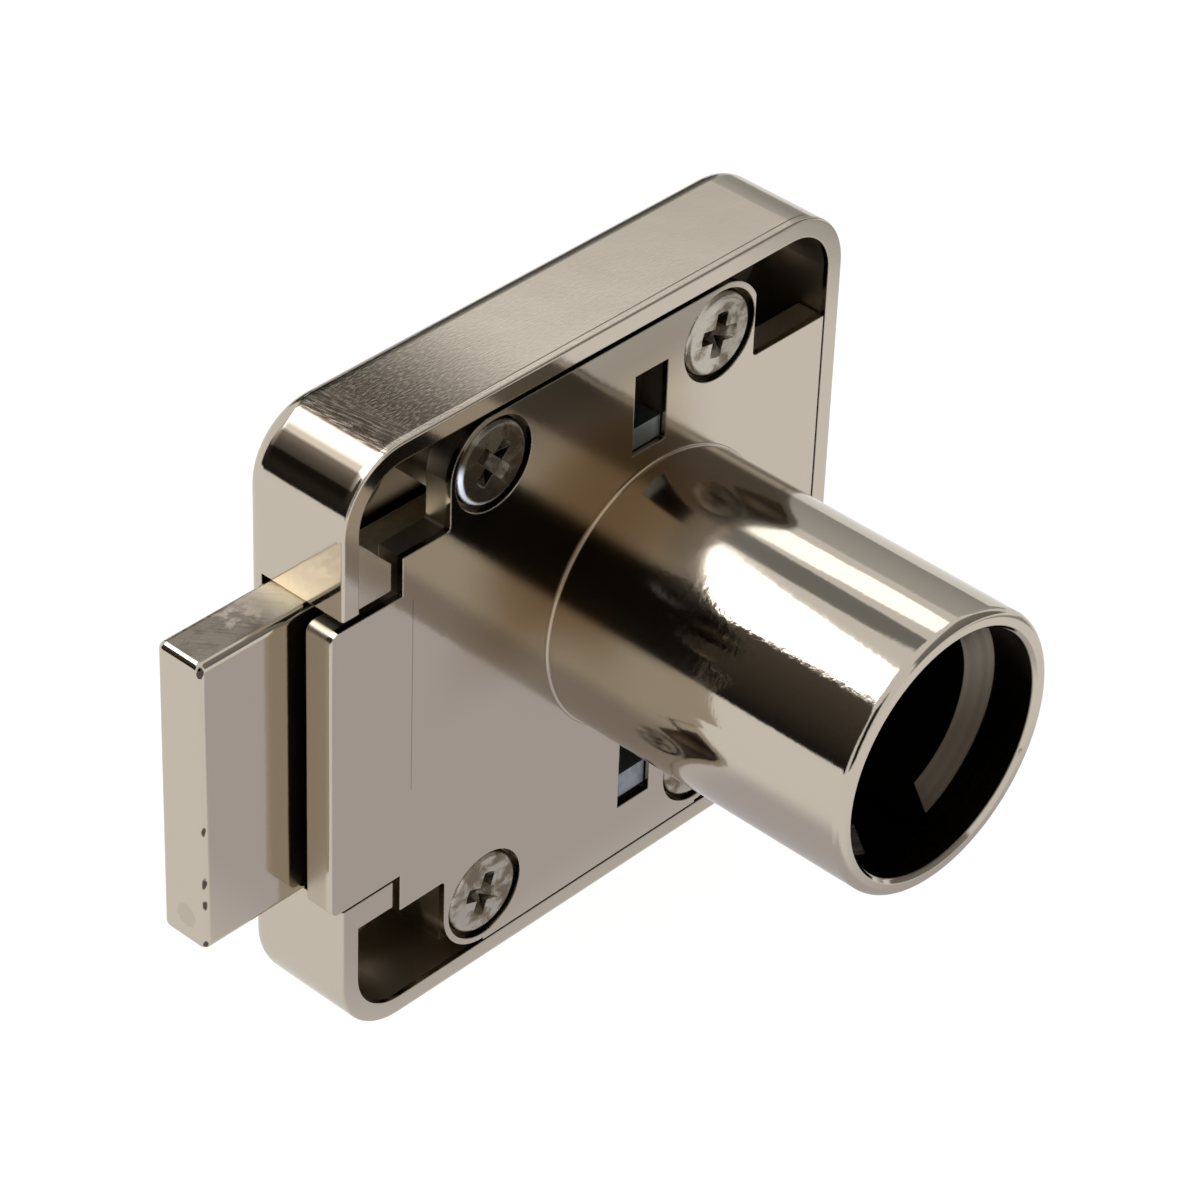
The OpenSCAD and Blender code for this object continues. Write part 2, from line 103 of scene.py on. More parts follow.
def place_camera(eye, target, lens, roll):
    data = bpy.data.cameras.new("camera")
    camera = bpy.data.objects.new("camera", data)
    bpy.context.scene.collection.objects.link(camera)
    look = (target - eye).normalized()
    level = look.cross(Vector((0, 0, 1))).normalized()
    right = level * math.cos(roll) + level.cross(look) * math.sin(roll)
    up = right.cross(look)
    camera.matrix_world = Matrix((
        (right.x, up.x, -look.x, eye.x),
        (right.y, up.y, -look.y, eye.y),
        (right.z, up.z, -look.z, eye.z),
        (0, 0, 0, 1),
    ))
    data.lens = lens
    data.clip_start = 0.01
    data.clip_end = 20
    bpy.context.scene.camera = camera
    return camera


camera = place_camera(EYE, TARGET, LENS, ROLL)
print("camera to lock, mm:", round((TARGET - EYE).length / MM))

# %% [markdown]
# ## Small helpers for node trees
#
# A material is a small graph. `add` puts one node in a tree, sets its values and joins the outputs
# that it is given. The others are short names for what the finishes do most: `times` multiplies masks,
# `scaled` stretches one and lifts it, and `ramp` and `fade` turn a place into a mask from 0 to 1,
# `fade` in millimetres. So each finish reads as a list of what it is made of.

# %% Node helpers
bpy.context.scene.view_settings.view_transform = "Standard"


def add(tree, kind, inputs=None, **settings):
    node = tree.nodes.new(kind)
    for name, value in settings.items():
        setattr(node, name, value)
    for name, value in (inputs or {}).items():
        if isinstance(value, bpy.types.NodeSocket):
            tree.links.new(value, node.inputs[name])
        else:
            node.inputs[name].default_value = value
    return node


def maths(tree, operation, *values):
    node = add(tree, "ShaderNodeMath", dict(enumerate(values)), operation=operation)
    return node.outputs[0]


def ramp(tree, value, start, end, low=0.0, high=1.0):
    inputs = {"Value": value, "From Min": start, "From Max": end, "To Min": low, "To Max": high}
    node = add(tree, "ShaderNodeMapRange", inputs, interpolation_type="SMOOTHSTEP")
    return node.outputs["Result"]


def fade(tree, place, start_mm, end_mm, low=0.0, high=1.0):
    return ramp(tree, place, start_mm * MM, end_mm * MM, low, high)


def times(tree, *masks):
    product = masks[0]
    for mask in masks[1:]:
        product = maths(tree, "MULTIPLY", product, mask)
    return product


def scaled(tree, mask, factor, lift):
    return maths(tree, "MULTIPLY_ADD", mask, factor, lift)


def length_of(tree, vector):
    return add(tree, "ShaderNodeVectorMath", {0: vector}, operation="LENGTH").outputs["Value"]


def mixed(tree, factor, first, second):
    node = add(tree, "ShaderNodeMix", {0: factor, 6: first, 7: second}, data_type="RGBA")
    return node.outputs[2]


def rgb(red, green, blue):
    return (red, green, blue, 1.0)


print("view transform:", bpy.context.scene.view_settings.view_transform)

# %% [markdown]
# ## The studio
#
# Polished metal has no colour of its own to show: it shows the room. A small product like this is
# photographed on a pale sheet, with a large lamp above and behind it and a smaller one at its right.
# Black boards, which photographers call flags, put dark bands beside the bright ones. The floor and
# the world show white to the camera and in reflections by the Light Path node, and light the lock at
# a plain level, so the metal keeps its own tone and the floor keeps the lock's shadow. One picture of
# a studio around the lock could do the same, but separate lamps and boards can be moved one by one.

# %% The floor's paper
FLOOR_PAINT = rgb(0.80, 0.80, 0.79)
SHOWN_WHITE = 0.84
FLOOR_GLOW = 1.14


def seen_directly(tree):
    path = add(tree, "ShaderNodeLightPath")
    shiny = maths(tree, "MAXIMUM", path.outputs["Is Glossy Ray"], path.outputs["Is Transmission Ray"])
    return maths(tree, "MAXIMUM", path.outputs["Is Camera Ray"], shiny)


def blank_material(name):
    material = bpy.data.materials.new(name)
    material.use_nodes = True
    tree = material.node_tree
    tree.nodes.clear()
    return material, tree, add(tree, "ShaderNodeOutputMaterial")


def floor_material():
    material, tree, output = blank_material("studio_floor")
    paper = add(tree, "ShaderNodeBsdfDiffuse", {"Color": FLOOR_PAINT})
    glow = add(tree, "ShaderNodeEmission", {"Color": rgb(1, 1, 1), "Strength": FLOOR_GLOW})
    share = times(tree, seen_directly(tree), SHOWN_WHITE)
    mix = add(tree, "ShaderNodeMixShader", {0: share, 1: paper.outputs[0], 2: glow.outputs[0]})
    tree.links.new(mix.outputs[0], output.inputs["Surface"])
    return material


floor_paper = floor_material()
print("paper:", floor_paper.name, "- its glow takes", SHOWN_WHITE, "of what the camera sees")

# %% The floor
FLOOR_DROP = 0.05 * MM
FLOOR_SIZE = 3.0


def flat_sheet(name, centre, right, up, material):
    mesh = bpy.data.meshes.new(name)
    corners = [centre - right - up, centre + right - up, centre + right + up, centre - right + up]
    mesh.from_pydata(corners, [], [(0, 1, 2, 3)])
    uv = mesh.uv_layers.new(name="board")
    for corner, place in zip(uv.data, ((0, 0), (1, 0), (1, 1), (0, 1))):
        corner.uv = place
    mesh.materials.append(material)
    sheet = bpy.data.objects.new(name, mesh)
    bpy.context.scene.collection.objects.link(sheet)
    return sheet


floor_centre = Vector((0, 0, cad_low.z - FLOOR_DROP))
to_side = Vector((FLOOR_SIZE / 2, 0, 0))
to_back = Vector((0, FLOOR_SIZE / 2, 0))
flat_sheet("studio_floor", floor_centre, to_side, to_back, floor_paper)
print("the floor's height, mm:", round(floor_centre.z / MM, 2))

# %% The world
BACKDROP = rgb(1.0, 1.0, 1.0)
LIT, SHOWN = 0.62, 1.0

world = bpy.data.worlds.new("studio")
world.use_nodes = True
bpy.context.scene.world = world
world_tree = world.node_tree
world_tree.nodes["Background"].inputs["Color"].default_value = BACKDROP
world_strength = scaled(world_tree, seen_directly(world_tree), SHOWN - LIT, LIT)
world_tree.links.new(world_strength, world_tree.nodes["Background"].inputs["Strength"])
print("the world lights at", LIT, "and shows at", SHOWN)

# %% [markdown]
# ## Lamps and flags
#
# Each one is placed by the direction in which the metal looks at it. An azimuth of 0 is straight
# behind the lock, along +Y, and 90 is to its right; the elevation is the height above the horizon.
# A sheet's width and height are angles too, so its place in a reflection can be read from the list.
# The large lamp blows out the tube's upper side and the case's round corner. The dark flags stand
# on the camera's side of the room and at the left behind the lock, where they end the highlight.
# Two dim sheets lie just above the floor, one under the tube and one to its right, and take the place
# of the shade that the room puts there. Only mirror rays see these boards, so they change what the metal
# shows and leave the light on the lock and the floor alone.

# %% Directions in the room


def direction(azimuth, elevation):
    a, e = math.radians(azimuth), math.radians(elevation)
    return Vector((math.sin(a) * math.cos(e), math.cos(a) * math.cos(e), math.sin(e)))


def across(azimuth):
    return Vector((math.cos(math.radians(azimuth)), -math.sin(math.radians(azimuth)), 0))


def span(angle, distance):
    return 2 * distance * math.tan(math.radians(angle) / 2)


print("straight behind the lock:", tuple(direction(0, 0)))

# %% Lamps
LAMP_FAR = 0.45


def soft_box(name, azimuth, elevation, width, height, brightness):
    data = bpy.data.lights.new(name, "AREA")
    data.shape = "RECTANGLE"
    data.size = span(width, LAMP_FAR)
    data.size_y = span(height, LAMP_FAR)
    data.energy = brightness * math.pi * data.size * data.size_y
    lamp = bpy.data.objects.new(name, data)
    bpy.context.scene.collection.objects.link(lamp)
    back = direction(azimuth, elevation)
    side = across(azimuth)
    rise = back.cross(side)
    place = back * LAMP_FAR
    lamp.matrix_world = Matrix((
        (side.x, rise.x, back.x, place.x),
        (side.y, rise.y, back.y, place.y),
        (side.z, rise.z, back.z, place.z),
        (0, 0, 0, 1),
    ))
    return lamp


soft_box("soft_box_main", -19.2, 53.5, 42.4, 17, 4.5)
soft_box("soft_box_right", 46, 44, 15, 13, 1.5)

# %% A board with soft edges


def flag_material(name, low_tone, high_tone, soft):
    material, tree, output = blank_material(name)
    place = add(tree, "ShaderNodeTexCoord").outputs["UV"]
    axes = add(tree, "ShaderNodeSeparateXYZ", {0: place})
    tone = mixed(tree, axes.outputs["Y"], low_tone, high_tone)
    board = add(tree, "ShaderNodeEmission", {"Color": tone, "Strength": 1.0})
    gap = add(tree, "ShaderNodeBsdfTransparent")
    solid = 1.0
    for axis, edge in zip("XY", soft):
        from_low = ramp(tree, axes.outputs[axis], 0.0, edge)
        from_high = ramp(tree, axes.outputs[axis], 1.0, 1.0 - edge)
        solid = times(tree, solid, from_low, from_high)
    mix = add(tree, "ShaderNodeMixShader", {0: solid, 1: gap.outputs[0], 2: board.outputs[0]})
    tree.links.new(mix.outputs[0], output.inputs["Surface"])
    return material


def hide_from_light(sheet):
    sheet.visible_camera = False
    sheet.visible_diffuse = False
    sheet.visible_shadow = False
    return sheet


def grey(tone, warm=0.0):
    return rgb(tone * (1 + warm), tone, tone * (1 - warm))


print("a warm dark grey:", grey(0.09, 0.2)[:3])

# %% Flags
FLAG_FAR = 0.5


def flag(name, azimuth, elevation, width, height, low_tone, high_tone, soft, distance=FLAG_FAR):
    out = direction(azimuth, elevation)
    right = across(azimuth) * span(width, distance) / 2
    up = out.cross(right).normalized() * span(height, distance) / -2
    material = flag_material(name, low_tone, high_tone, soft)
    return hide_from_light(flat_sheet(name, out * distance, right, up, material))


flags = [
    flag("flag_left_back", -62, 21, 54, 47, grey(0.008, 0.2), grey(0.09, 0.2), (0.02, 0.03)),
    flag("flag_camera", -133, 22, 34, 50, grey(0.01), grey(0.03), (0.06, 0.06), 0.53),
    flag("flag_front_right", 133, 26, 66, 62, grey(0.2, 0.05), grey(0.3, 0.05), (0.08, 0.08), 0.53),
    flag("flag_right_back", 70, 14, 34, 36, grey(0.42), grey(0.64), (0.1, 0.06), 0.56),
    flag("flag_back", 33, 13, 34, 32, grey(0.08), grey(0.12), (0.06, 0.06), 0.53),
    flag("flag_over", 26, 56, 13, 15, grey(0.27), grey(0.27), (0.08, 0.08), 0.42),
]
print("flags:", [board.name for board in flags])

# %% Dim sheets above the floor


def dim_sheet(name, x_mm, y_mm, lift_mm, half_x_mm, half_y_mm, tone, soft):
    centre = Vector((x_mm * MM, y_mm * MM, cad_low.z + lift_mm * MM))
    right = Vector((half_x_mm * MM, 0, 0))
    up = Vector((0, half_y_mm * MM, 0))
    material = flag_material(name, tone, tone, (soft, soft))
    return hide_from_light(flat_sheet(name, centre, right, up, material))


under_tube = dim_sheet("dim_floor", 1, -16.5, 0.2, 31, 21.5, rgb(0.68, 0.66, 0.70), 0.2)
to_the_right = dim_sheet("dim_right", 85, -62, 0.3, 36, 45, grey(0.45), 0.25)
print("dim sheets:", under_tube.name, to_the_right.name)

# %% [markdown]
# ## Shared effects
#
# Four small node groups describe what happened to the metal, and the materials below choose how much
# of each they take. `ripple` is the hand-polished casting: long soft waves and a faint orange peel.
# `grain` draws fine lines along one axis, as a belt does. `stains` is a blotchy mask between 0 and
# 1. `box_mask` is 1 inside a box of the part's own coordinates and 0 outside, with soft walls.
# Painted images could carry such marks, but each solid would have to be unwrapped for them first.
# Noise in the part's own coordinates needs no unwrapping, and its size is given in millimetres.

# %% Ripple


def new_group(name, inputs, outputs):
    tree = bpy.data.node_groups.new(name, "ShaderNodeTree")
    for label, value in inputs.items():
        socket = tree.interface.new_socket(label, in_out="INPUT", socket_type="NodeSocketFloat")
        socket.default_value = value
    for label in outputs:
        tree.interface.new_socket(label, in_out="OUTPUT", socket_type="NodeSocketFloat")
    return tree, add(tree, "NodeGroupInput"), add(tree, "NodeGroupOutput")


def place_of(tree):
    return add(tree, "ShaderNodeTexCoord").outputs["Object"]


def axes_of(tree, vector):
    split = add(tree, "ShaderNodeSeparateXYZ", {0: vector})
    return split.outputs["X"], split.outputs["Y"], split.outputs["Z"]


def ripple_group():
    tree, given, result = new_group("ripple", {"Waves per mm": 0.3, "Peel": 0.2}, ["Height"])
    per_metre = maths(tree, "DIVIDE", given.outputs["Waves per mm"], MM)
    place = place_of(tree)
    slow = add(tree, "ShaderNodeTexNoise", {"Vector": place, "Scale": per_metre, "Detail": 1.5})
    fine_scale = maths(tree, "MULTIPLY", per_metre, 12.0)
    fine = add(tree, "ShaderNodeTexNoise", {"Vector": place, "Scale": fine_scale, "Detail": 3.0})
    peel = maths(tree, "MULTIPLY", fine.outputs["Fac"], given.outputs["Peel"])
    tree.links.new(maths(tree, "ADD", slow.outputs["Fac"], peel), result.inputs["Height"])
    return tree


RIPPLE = ripple_group()
print("group:", RIPPLE.name)

# %% Grain


def grain_group():
    inputs = {"Lines per mm": 8.0, "Length": 20.0, "Turn": 0.0}
    tree, given, result = new_group("grain", inputs, ["Value"])
    turn = add(tree, "ShaderNodeCombineXYZ", {"X": 0.0, "Y": 0.0, "Z": given.outputs["Turn"]})
    turned = add(tree, "ShaderNodeMapping", {"Vector": place_of(tree), "Rotation": turn.outputs[0]})
    along = maths(tree, "DIVIDE", 1.0, given.outputs["Length"])
    squeeze = add(tree, "ShaderNodeCombineXYZ", {"X": along, "Y": 1.0, "Z": 1.0})
    stretched = add(tree, "ShaderNodeVectorMath", {0: turned.outputs[0], 1: squeeze.outputs[0]},
                    operation="MULTIPLY")
    scale = maths(tree, "DIVIDE", given.outputs["Lines per mm"], MM)
    lines = add(tree, "ShaderNodeTexNoise",
                {"Vector": stretched.outputs[0], "Scale": scale, "Detail": 4.0})
    tree.links.new(lines.outputs["Fac"], result.inputs["Value"])
    return tree


GRAIN = grain_group()
print("group:", GRAIN.name)

# %% Stains


def stains_group():
    inputs = {"Spots per mm": 1.0, "Amount": 0.5, "Edge": 0.1}
    tree, given, result = new_group("stains", inputs, ["Mask"])
    scale = maths(tree, "DIVIDE", given.outputs["Spots per mm"], MM)
    spots = add(tree, "ShaderNodeTexNoise", {"Vector": place_of(tree), "Scale": scale, "Detail": 5.0,
                                             "Roughness": 0.6, "Distortion": 0.4})
    low = maths(tree, "SUBTRACT", 1.0, given.outputs["Amount"])
    high = maths(tree, "ADD", low, given.outputs["Edge"])
    tree.links.new(ramp(tree, spots.outputs["Fac"], low, high), result.inputs["Mask"])
    return tree


STAINS = stains_group()
print("group:", STAINS.name)

# %% Box mask


def box_group():
    inputs = {"X low": -1.0, "X high": 1.0, "Y low": -1.0, "Y high": 1.0,
              "Z low": -1.0, "Z high": 1.0, "Soft": 0.0001}
    tree, given, result = new_group("box_mask", inputs, ["Mask"])
    inside = 1.0
    for axis, value in zip("XYZ", axes_of(tree, place_of(tree))):
        for side, sign in ((" low", 1.0), (" high", -1.0)):
            past_side = maths(tree, "SUBTRACT", value, given.outputs[axis + side])
            part = ramp(tree, times(tree, past_side, sign), 0.0, given.outputs["Soft"])
            inside = times(tree, inside, part)
    tree.links.new(inside, result.inputs["Mask"])
    return tree


BOX = box_group()
print("group:", BOX.name)

# %% Placing a group in a material


def use_group(tree, group, **values):
    node = add(tree, "ShaderNodeGroup", node_tree=group)
    for label, value in values.items():
        name = label.replace("_", " ")
        if isinstance(value, bpy.types.NodeSocket):
            tree.links.new(value, node.inputs[name])
        else:
            node.inputs[name].default_value = value
    return node.outputs[0]


def within(tree, soft_mm, **limits_mm):
    limits = {label: value * MM for label, value in limits_mm.items()}
    return use_group(tree, BOX, Soft=soft_mm * MM, **limits)


print("groups to place:", len(bpy.data.node_groups))

# %% [markdown]
# ## The metal itself
#
# `metal` makes the bare shader. `finish_metal` adds the three things that every plated piece has: a
# colour that can be darkened by a mask, a roughness that can be raised by a mask, and a bumped
# normal. `darker` mixes deep brown in, so its factor is the share of the old colour that stays. The
# Bevel node in `round_edges` rounds sharp edges by a tenth of a millimetre in the shading, so they
# catch a thin line of light, as plated edges do. Bevels in the meshes would need many small faces.
# The bolt does without, since its solid has rounded edges of its own.

# %% The bare metal
NICKEL = rgb(0.50, 0.447, 0.373)
# DEEP_BROWN darkens painted shade and real marks alike, such as nicks and turning lines.
DEEP_BROWN = rgb(0.030, 0.020, 0.012)
EDGE_TINT = rgb(0.85, 0.84, 0.82)


def metal(name):
    material, tree, output = blank_material(name)
    shader = add(tree, "ShaderNodeBsdfPrincipled", {"Metallic": 1.0, "Specular Tint": EDGE_TINT})
    tree.links.new(shader.outputs[0], output.inputs["Surface"])
    return material, tree, shader


print("nickel:", NICKEL[:3])

# %% Bumps, edges and finish
EDGE_ROUND = 0.1


def bump(tree, height, distance_mm, base=None):
    inputs = {"Height": height, "Strength": 1.0, "Distance": distance_mm * MM}
    if base is not None:
        inputs["Normal"] = base
    return add(tree, "ShaderNodeBump", inputs).outputs["Normal"]


def round_edges(tree, radius_mm=EDGE_ROUND):
    return add(tree, "ShaderNodeBevel", {"Radius": radius_mm * MM}, samples=4).outputs["Normal"]


def finish_metal(tree, shader, colour, roughness, normal):
    for label, value in (("Base Color", colour), ("Roughness", roughness), ("Normal", normal)):
        if isinstance(value, bpy.types.NodeSocket):
            tree.links.new(value, shader.inputs[label])
        else:
            shader.inputs[label].default_value = value


def darker(tree, colour, mask, factor):
    return mixed(tree, times(tree, mask, 1.0 - factor), colour, DEEP_BROWN)


def faces_up(tree, low, high):
    normal = add(tree, "ShaderNodeTexCoord").outputs["Normal"]
    return ramp(tree, axes_of(tree, normal)[2], low, high)


print("edges rounded in the shading, mm:", EDGE_ROUND)

# %% [markdown]
# ## The case
#
# Its sides are a mirror. The top was only belt-ground: lines run along it, and toward the bolt the
# grinding gets coarser, with sparkles. The whole top is painted darker as shade, and toward the bolt
# much darker, in speckles. A fine line is scored half a millimetre behind the front edge. Inside,
# where no polishing wheel reaches, the plating is dull, and its colour is mixed toward brown as
# painted shade. The pocket at the upper corner beside the bolt is painted almost black as shade.
# All places are in millimetres. They could be painted by hand, but boxes and ramps are exact and stay
# in place when the mesh changes.

# %% Where the case is worked, and where shade is painted on it
# A brown for painted shade, inside the case and on the plate's faces behind its front.
RECESS_SHADE_BROWN = rgb(0.32, 0.24, 0.15)
SIDE_WALL = 0.9
INSIDE_DEPTH = 6.6
# Toward the bolt the top's grinding gets coarser and its painted shade gets deeper.
GRINDING_AND_SHADE_STARTS, GRINDING_AND_SHADE_FULL = -8.5, -19.5
STROKES_START, STROKES_FULL = -18.5, -21.0
SCORED_LINE = {"Y_low": 0.43, "Y_high": 0.55}
BEHIND_LINE = (0.50, 0.56)
INSIDE = {
    "X_low": case_low.x / MM + SIDE_WALL,
    "X_high": case_high.x / MM - SIDE_WALL,
    "Y_low": 0.25,
    "Y_high": INSIDE_DEPTH,
    "Z_low": case_low.z / MM + SIDE_WALL,
    "Z_high": case_high.z / MM - SIDE_WALL,
}
POCKET_WALL = 0.4
# The pocket at the upper corner beside the bolt is painted almost black as shade.
SHADED_POCKET = {
    "X_low": case_low.x / MM + POCKET_WALL,
    "X_high": -11.5,
    "Y_low": 0.3,
    "Y_high": INSIDE_DEPTH,
    "Z_low": 8.0,
    "Z_high": case_high.z / MM - POCKET_WALL,
}
print("coarse grinding, mm:", GRINDING_AND_SHADE_STARTS, "to", GRINDING_AND_SHADE_FULL)

# %% Case finish


def case_finish():
    material, tree, shader = metal("nickel_on_case")
    x, y, z = axes_of(tree, place_of(tree))
    top_mm = CASE_TOP / MM
    top = times(tree, faces_up(tree, 0.93, 0.955), fade(tree, z, top_mm - 1.2, top_mm - 0.8))
    toward_bolt = fade(tree, x, GRINDING_AND_SHADE_STARTS, GRINDING_AND_SHADE_FULL)
    at_corner = fade(tree, x, STROKES_START, STROKES_FULL)
    specks = use_group(tree, GRAIN, Lines_per_mm=9.0, Length=3.5, Turn=0.0)
    strokes = use_group(tree, GRAIN, Lines_per_mm=6.0, Length=6.0, Turn=1.45)
    specks_left = times(tree, specks, maths(tree, "SUBTRACT", 1.0, at_corner))
    rough = maths(tree, "ADD", specks_left, times(tree, strokes, at_corner))
    speckled = ramp(tree, rough, 0.42, 0.68, 1.0, 0.6)
    speckled_top_shade = times(tree, top, fade(tree, y, *BEHIND_LINE), toward_bolt, speckled)
    scored = times(tree, top, within(tree, 0.03, **SCORED_LINE))
    inside = within(tree, 0.15, **INSIDE)
    pocket = within(tree, 0.4, **SHADED_POCKET)
    shaded_top = times(tree, top, scaled(tree, toward_bolt, 0.14, 0.25))
    # Painted shade: the whole top is darkened, and more so toward the bolt, in speckles.
    colour = darker(tree, NICKEL, shaded_top, 0.0)
    colour = darker(tree, colour, speckled_top_shade, 0.08)
    colour = darker(tree, colour, scored, 0.3)
    # Painted shade: inside the case, the colour is mixed halfway toward that brown.
    colour = mixed(tree, times(tree, inside, 0.5), colour, RECESS_SHADE_BROWN)
    # Painted shade: that corner pocket is darkened almost to black.
    colour = darker(tree, colour, pocket, 0.2)
    ripple = use_group(tree, RIPPLE, Waves_per_mm=0.22, Peel=0.06)
    normal = bump(tree, ripple, 0.02, round_edges(tree))
    depth = times(tree, top, scaled(tree, toward_bolt, 0.5, 0.1))
    normal = bump(tree, times(tree, rough, depth), 0.05, normal)
    roughness = scaled(tree, top, 0.14, 0.08)
    roughness = scaled(tree, inside, 0.32, roughness)
    finish_metal(tree, shader, colour, roughness, normal)
    return material


case_metal = case_finish()
print("case:", case_metal.name)

# %% [markdown]
# ## The plate and its tube
#
# The tube is turned and bright near its mouth and duller toward the plate, where the wheel couldn't
# follow. There it carries painted shade: brown on its upper side, and almost black in a band along
# one side. Behind the mouth lies a seat for the core's head, with turning lines; it falls away into
# a bore painted dark as shade. The plate's upper left part is painted darker as shade, and its faces
# behind the front are mixed toward brown as shade. The place gives the distance from the tube's axis
# and the angle around it, so rings, painted shade and darkness follow the tube. Angles start at +X
# and grow toward the top. A material for each zone would leave hard seams between them, so one
# material covers the whole casting and soft masks part the zones.

# %% Where the plate is worked, and where shade is painted on it
# A brown for painted shade on the tube's upper side, where it meets the plate.
ROOT_SHADE_BROWN = rgb(0.22, 0.125, 0.03)
TUBE_MM, MOUTH_MM, END_MM = TUBE_R / MM, MOUTH_R / MM, TUBE_END / MM
ROOT_STARTS, ROOT_FULL = -13.0, -3.0
ROOT_REACH = 11.0
ROOT_SHADE_STARTS = -7.5
ROOT_SHADE_UPPER, ROOT_SHADE_LEFT = (-2, 4), (5, -2)
SHADE_UPPER, SHADE_LEFT = (12.5, 17), (9, 3)
BEHIND_PLATE = (0.15, 0.6)
SIDE_FROM, SIDE_FROM_FULL = math.radians(123), math.radians(136)
SIDE_TO_FULL, SIDE_TO = math.radians(155), math.radians(163)
SCORED_PLATE = {"X_low": -19.74, "X_high": -19.66, "Y_high": 0.1, "Z_low": -4.0, "Z_high": 9.2}
print("smoke starts, mm from the plate:", -ROOT_SHADE_STARTS)

# %% Masks around the tube's axis


def around_axis(tree, x, z):
    flat = add(tree, "ShaderNodeCombineXYZ", {"X": x, "Y": 0.0, "Z": z}).outputs[0]
    return length_of(tree, flat), maths(tree, "ARCTAN2", z, x)


def turning_lines(tree, radius, y):
    place = add(tree, "ShaderNodeCombineXYZ", {"X": radius, "Y": y}).outputs[0]
    inputs = {"Vector": place, "Scale": 3.2 / MM, "Detail": 3.0}
    return add(tree, "ShaderNodeTexNoise", inputs).outputs["Fac"]


def shaded_side(tree, angle, y):
    along_side = times(tree, ramp(tree, angle, SIDE_FROM, SIDE_FROM_FULL),
                       ramp(tree, angle, SIDE_TO, SIDE_TO_FULL))
    return times(tree, along_side, fade(tree, y, -11.0, -6.5), fade(tree, y, -0.1, -0.3))


def bore_shade(tree, x, z):
    low_left = times(tree, fade(tree, x, -3, -6, 0.0, 0.97), fade(tree, z, 1, -3))
    return maths(tree, "MAXIMUM", fade(tree, z, 7.5, -4.0, 0.5, 0.93), low_left)


def lamp_edge_flakes(tree, place, x, y, z):
    flank = times(tree, fade(tree, x, -4.3, -5.8), fade(tree, z, 3, 5), fade(tree, y, -3, -6))
    inputs = {"Vector": place, "Scale": 2.4 / MM, "Detail": 3.0}
    return times(tree, add(tree, "ShaderNodeTexNoise", inputs).outputs["Fac"], flank)


print("masks: around_axis, turning_lines, shaded_side, bore_shade, lamp_edge_flakes")

# %% Plate finish


def plate_finish():
    material, tree, shader = metal("nickel_on_plate")
    place = place_of(tree)
    x, y, z = axes_of(tree, place)
    radius, angle = around_axis(tree, x, z)
    in_bore = times(tree, fade(tree, radius, MOUTH_MM + 0.12, MOUTH_MM + 0.02),
                    fade(tree, y, END_MM + 0.15, END_MM + 0.3))
    turned = turning_lines(tree, radius, y)
    lines = times(tree, in_bore, ramp(tree, turned, 0.40, 0.62, 0.0, 0.35))
    near_root = times(tree, fade(tree, y, ROOT_STARTS, ROOT_FULL),
                      fade(tree, radius, TUBE_MM + ROOT_REACH, TUBE_MM + 1))
    root_shade = times(tree, near_root, fade(tree, y, ROOT_SHADE_STARTS, ROOT_FULL),
                   fade(tree, z, *ROOT_SHADE_UPPER), fade(tree, x, *ROOT_SHADE_LEFT))
    top_shade = times(tree, fade(tree, z, *SHADE_UPPER), fade(tree, x, *SHADE_LEFT))
    scored = within(tree, 0.02, **SCORED_PLATE)
    behind = fade(tree, y, *BEHIND_PLATE)
    # Painted shade: the plate's upper part, toward the left, is darkened.
    colour = darker(tree, NICKEL, top_shade, 0.52)
    # Painted shade: the tube's upper left side near the plate is mixed toward brown.
    colour = mixed(tree, times(tree, root_shade, 0.55), colour, ROOT_SHADE_BROWN)
    # Painted shade: a band along the tube's upper left side is darkened.
    colour = darker(tree, colour, shaded_side(tree, angle, y), 0.33)
    # Painted shade: the bore darkens toward deep brown, most at its bottom and lower left.
    colour = mixed(tree, times(tree, in_bore, bore_shade(tree, x, z)), colour, DEEP_BROWN)
    colour = darker(tree, colour, lines, 0.5)
    colour = darker(tree, colour, scored, 0.55)
    # Painted shade: the faces behind the plate's front are mixed toward the same brown.
    colour = mixed(tree, times(tree, behind, 0.3), colour, RECESS_SHADE_BROWN)
    ripple = use_group(tree, RIPPLE, Waves_per_mm=0.22, Peel=0.10)
    normal = bump(tree, ripple, 0.015, round_edges(tree))
    normal = bump(tree, lamp_edge_flakes(tree, place, x, y, z), 0.010, normal)
    normal = bump(tree, times(tree, turned, in_bore), 0.03, normal)
    roughness = scaled(tree, near_root, 0.09, 0.06)
    roughness = scaled(tree, in_bore, 0.20, roughness)
    roughness = scaled(tree, behind, 0.3, roughness)
    finish_metal(tree, shader, colour, roughness, normal)
    return material


plate_metal = plate_finish()
print("plate:", plate_metal.name)

# %% [markdown]
# ## The bolt
#
# The bolt slams into its strike, so it shows the most wear. Its top is scratched and blotchy, and
# its outer edge is nicked through to the zinc. The nicks are a mask that lives only near that edge,
# and a shallow dent in the end face is another. They could be cut out of the mesh, but they are half
# a millimetre across, so a bump shows them well. The wall above the bolt mirrors the part of its top
# that faces the lamp, bright and cream, although that top looks dull from the camera. So the top
# gives off a cream glow to mirror rays alone, and that patch of the wall shows it from every side.

# %% Where the bolt is worn, and where light is painted on it
NICKS = [(-1.2, 0.382), (-4.8, 0.44), (-6.4, 0.40), (-9.2, 0.40), (9.8, 0.47)]
DENT_IN, DENT_HIGH, DENT_SIZE = 1.4, -7.7, 0.62
HEAD_ENDS = -9.0
WORN_END = (-26.2, -28.6)
LIT_BY_WALL = (-27, -25)
SATIN_END = (-29, -26.5)
MIRRORED_TOP = (-31.9, -30.2)
